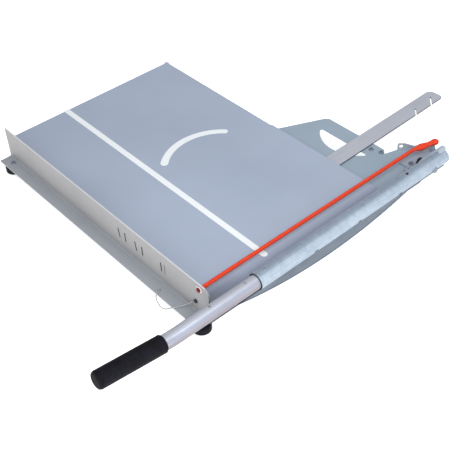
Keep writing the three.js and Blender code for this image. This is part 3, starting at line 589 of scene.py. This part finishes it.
def curved_mark():
    """A white arc on the table, a little wider at its left end, with round ends."""
    centre = (392, 267.4)
    radius = 115
    left_half, right_half = 8.2, 7.0
    start, end = 134, 224
    steps = 28
    outer, inner = [], []
    for i in range(steps + 1):
        half = right_half + (left_half - right_half) * i / steps
        angle = start + (end - start) * i / steps
        outer += arc(centre, radius + half, angle, angle, 0)
        inner += arc(centre, radius - half, angle, angle, 0)
    first, last = arc(centre, radius, start, end, 1)
    outline = [
        *outer,
        *arc(last, left_half, end, end + 180, 8)[1:-1],
        *reversed(inner),
        *arc(first, right_half, start + 180, start + 360, 8)[1:-1],
    ]
    mark = piece("curved_mark", slab("curved_mark", outline, MARK_BOTTOM, MARK_TOP), WHITE_PAINT)


straight_mark()
curved_mark()


# ---------------------------------------------------------------- the cord's bound end
BOUND_START = Vector((650.5, 562.4, 20.0))
BOUND_LENGTH = 60
BOUND_TURN = math.radians(16)  # away from the cord's own line
BOUND_RISE = 0.03
# half widths along it: the binding, the waist, and the round end over the post
BOUND_WIDTHS = [
    (0, 4.0), (5, 4.3), (12, 6.8), (18, 7.9), (24, 7.2), (36, 5.5),
    (44, 6.2), (50, 7.6), (55, 7.0), (58.5, 4.2), (BOUND_LENGTH, 0.6),
]
BOUND_FLATNESS = 0.8
BOUND_RINGS = 96
BOUND_SIDES = 28


def bound_width(distance):
    """Half the bound end's width at a distance along it, with the ripple of its binding."""
    last = next(k for k in range(1, len(BOUND_WIDTHS)) if distance <= BOUND_WIDTHS[k][0])
    (near, near_width), (far, far_width) = BOUND_WIDTHS[last - 1], BOUND_WIDTHS[last]
    width = near_width + (far_width - near_width) * (distance - near) / (far - near)
    return width * (1 + 0.05 * math.sin(distance * 2.6))


def bound_ring(mesh, distance):
    """One ring of the bound end's vertices."""
    along = Vector((math.sin(BOUND_TURN), math.cos(BOUND_TURN), BOUND_RISE))
    side = Vector((math.cos(BOUND_TURN), -math.sin(BOUND_TURN), 0.0))
    width = bound_width(distance)
    height = BOUND_FLATNESS * width
    centre = BOUND_START + along * distance
    ring = []
    for k in range(BOUND_SIDES):
        angle = 2 * math.pi * k / BOUND_SIDES
        offset = side * (width * math.cos(angle)) + Vector((0, 0, height * math.sin(angle)))
        ring.append(mesh.verts.new(at(*(centre + offset))))
    return ring


def bound_end():
    """The doubled end of the cord: bound where it starts, waisted, and rounded over its post."""
    mesh = bmesh.new()
    rings = [bound_ring(mesh, BOUND_LENGTH * i / (BOUND_RINGS - 1)) for i in range(BOUND_RINGS)]
    for low, high in zip(rings, rings[1:]):
        for k in range(BOUND_SIDES):
            j = (k + 1) % BOUND_SIDES
            mesh.faces.new((low[k], low[j], high[j], high[k]))
    mesh.faces.new(list(reversed(rings[0])))
    mesh.faces.new(rings[-1])
    bmesh.ops.recalc_face_normals(mesh, faces=mesh.faces)
    data = bpy.data.meshes.new("bound_end")
    mesh.to_mesh(data)
    mesh.free()
    for polygon in data.polygons:
        polygon.use_smooth = True
    end = piece("bound_end", data, ORANGE)
    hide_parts("cord_loop")


bound_end()


# ---------------------------------------------------------------- studio, in metres
FLOOR_SIZE = 8.0
FLOOR_GLOW = 0.55
BRIGHT_SIDE = (0.62, -0.45, -0.64)
WORLD_DIM, WORLD_BRIGHT = 0.36, 1.0


def add_floor():
    """A plain pale floor that glows a little, so that it stays white."""
    mesh = bmesh.new()
    bmesh.ops.create_grid(mesh, x_segments=2, y_segments=2, size=FLOOR_SIZE)
    data = bpy.data.meshes.new("floor")
    mesh.to_mesh(data)
    mesh.free()
    floor = bpy.data.objects.new("floor", data)
    bpy.context.collection.objects.link(floor)
    nodes = Nodes("floor", roughness=0.9, specular=0.1)
    nodes.colour(nodes.ramp(nodes.noise(1.5, 2.0), [(0.3, rgb(250, 250, 250)), (0.7, rgb(254, 254, 254))]))
    nodes.shader.inputs["Emission Color"].default_value = (1.0, 1.0, 1.0, 1.0)
    nodes.shader.inputs["Emission Strength"].default_value = FLOOR_GLOW
    give(floor, nodes.material)


def add_area(name, place, size, power):
    """A soft light aimed at the middle of the floor."""
    data = bpy.data.lights.new(name, "AREA")
    data.shape = "RECTANGLE"
    data.size, data.size_y = size
    data.energy = power
    light = bpy.data.objects.new(name, data)
    light.location = place
    light.rotation_mode = "QUATERNION"
    light.rotation_quaternion = (-Vector(place)).to_track_quat("-Z", "Y")
    bpy.context.collection.objects.link(light)


def add_world():
    """A studio that is bright at the front right and low down, and grey above."""
    world = bpy.data.worlds.new("studio")
    world.use_nodes = True
    tree = world.node_tree
    background = tree.nodes["Background"]
    place = tree.nodes.new("ShaderNodeTexCoord")
    bright_side = tree.nodes.new("ShaderNodeVectorMath")
    bright_side.operation = "DOT_PRODUCT"
    bright_side.inputs[1].default_value = BRIGHT_SIDE
    tree.links.new(place.outputs["Generated"], bright_side.inputs[0])
    strength = tree.nodes.new("ShaderNodeMapRange")
    strength.inputs["From Min"].default_value = -1.0
    strength.inputs["From Max"].default_value = 1.0
    strength.inputs["To Min"].default_value = WORLD_DIM
    strength.inputs["To Max"].default_value = WORLD_BRIGHT
    tree.links.new(bright_side.outputs["Value"], strength.inputs["Value"])
    tree.links.new(strength.outputs["Result"], background.inputs["Strength"])
    background.inputs["Color"].default_value = (1.0, 1.0, 1.0, 1.0)
    bpy.context.scene.world = world


def light_studio():
    add_world()
    add_area("key", (1.6, -0.4, 2.3), (1.6, 1.6), 42)
    add_area("front", (1.4, -2.4, 1.2), (2.0, 1.4), 8)
    bpy.context.scene.view_settings.view_transform = "Standard"


add_floor()
light_studio()
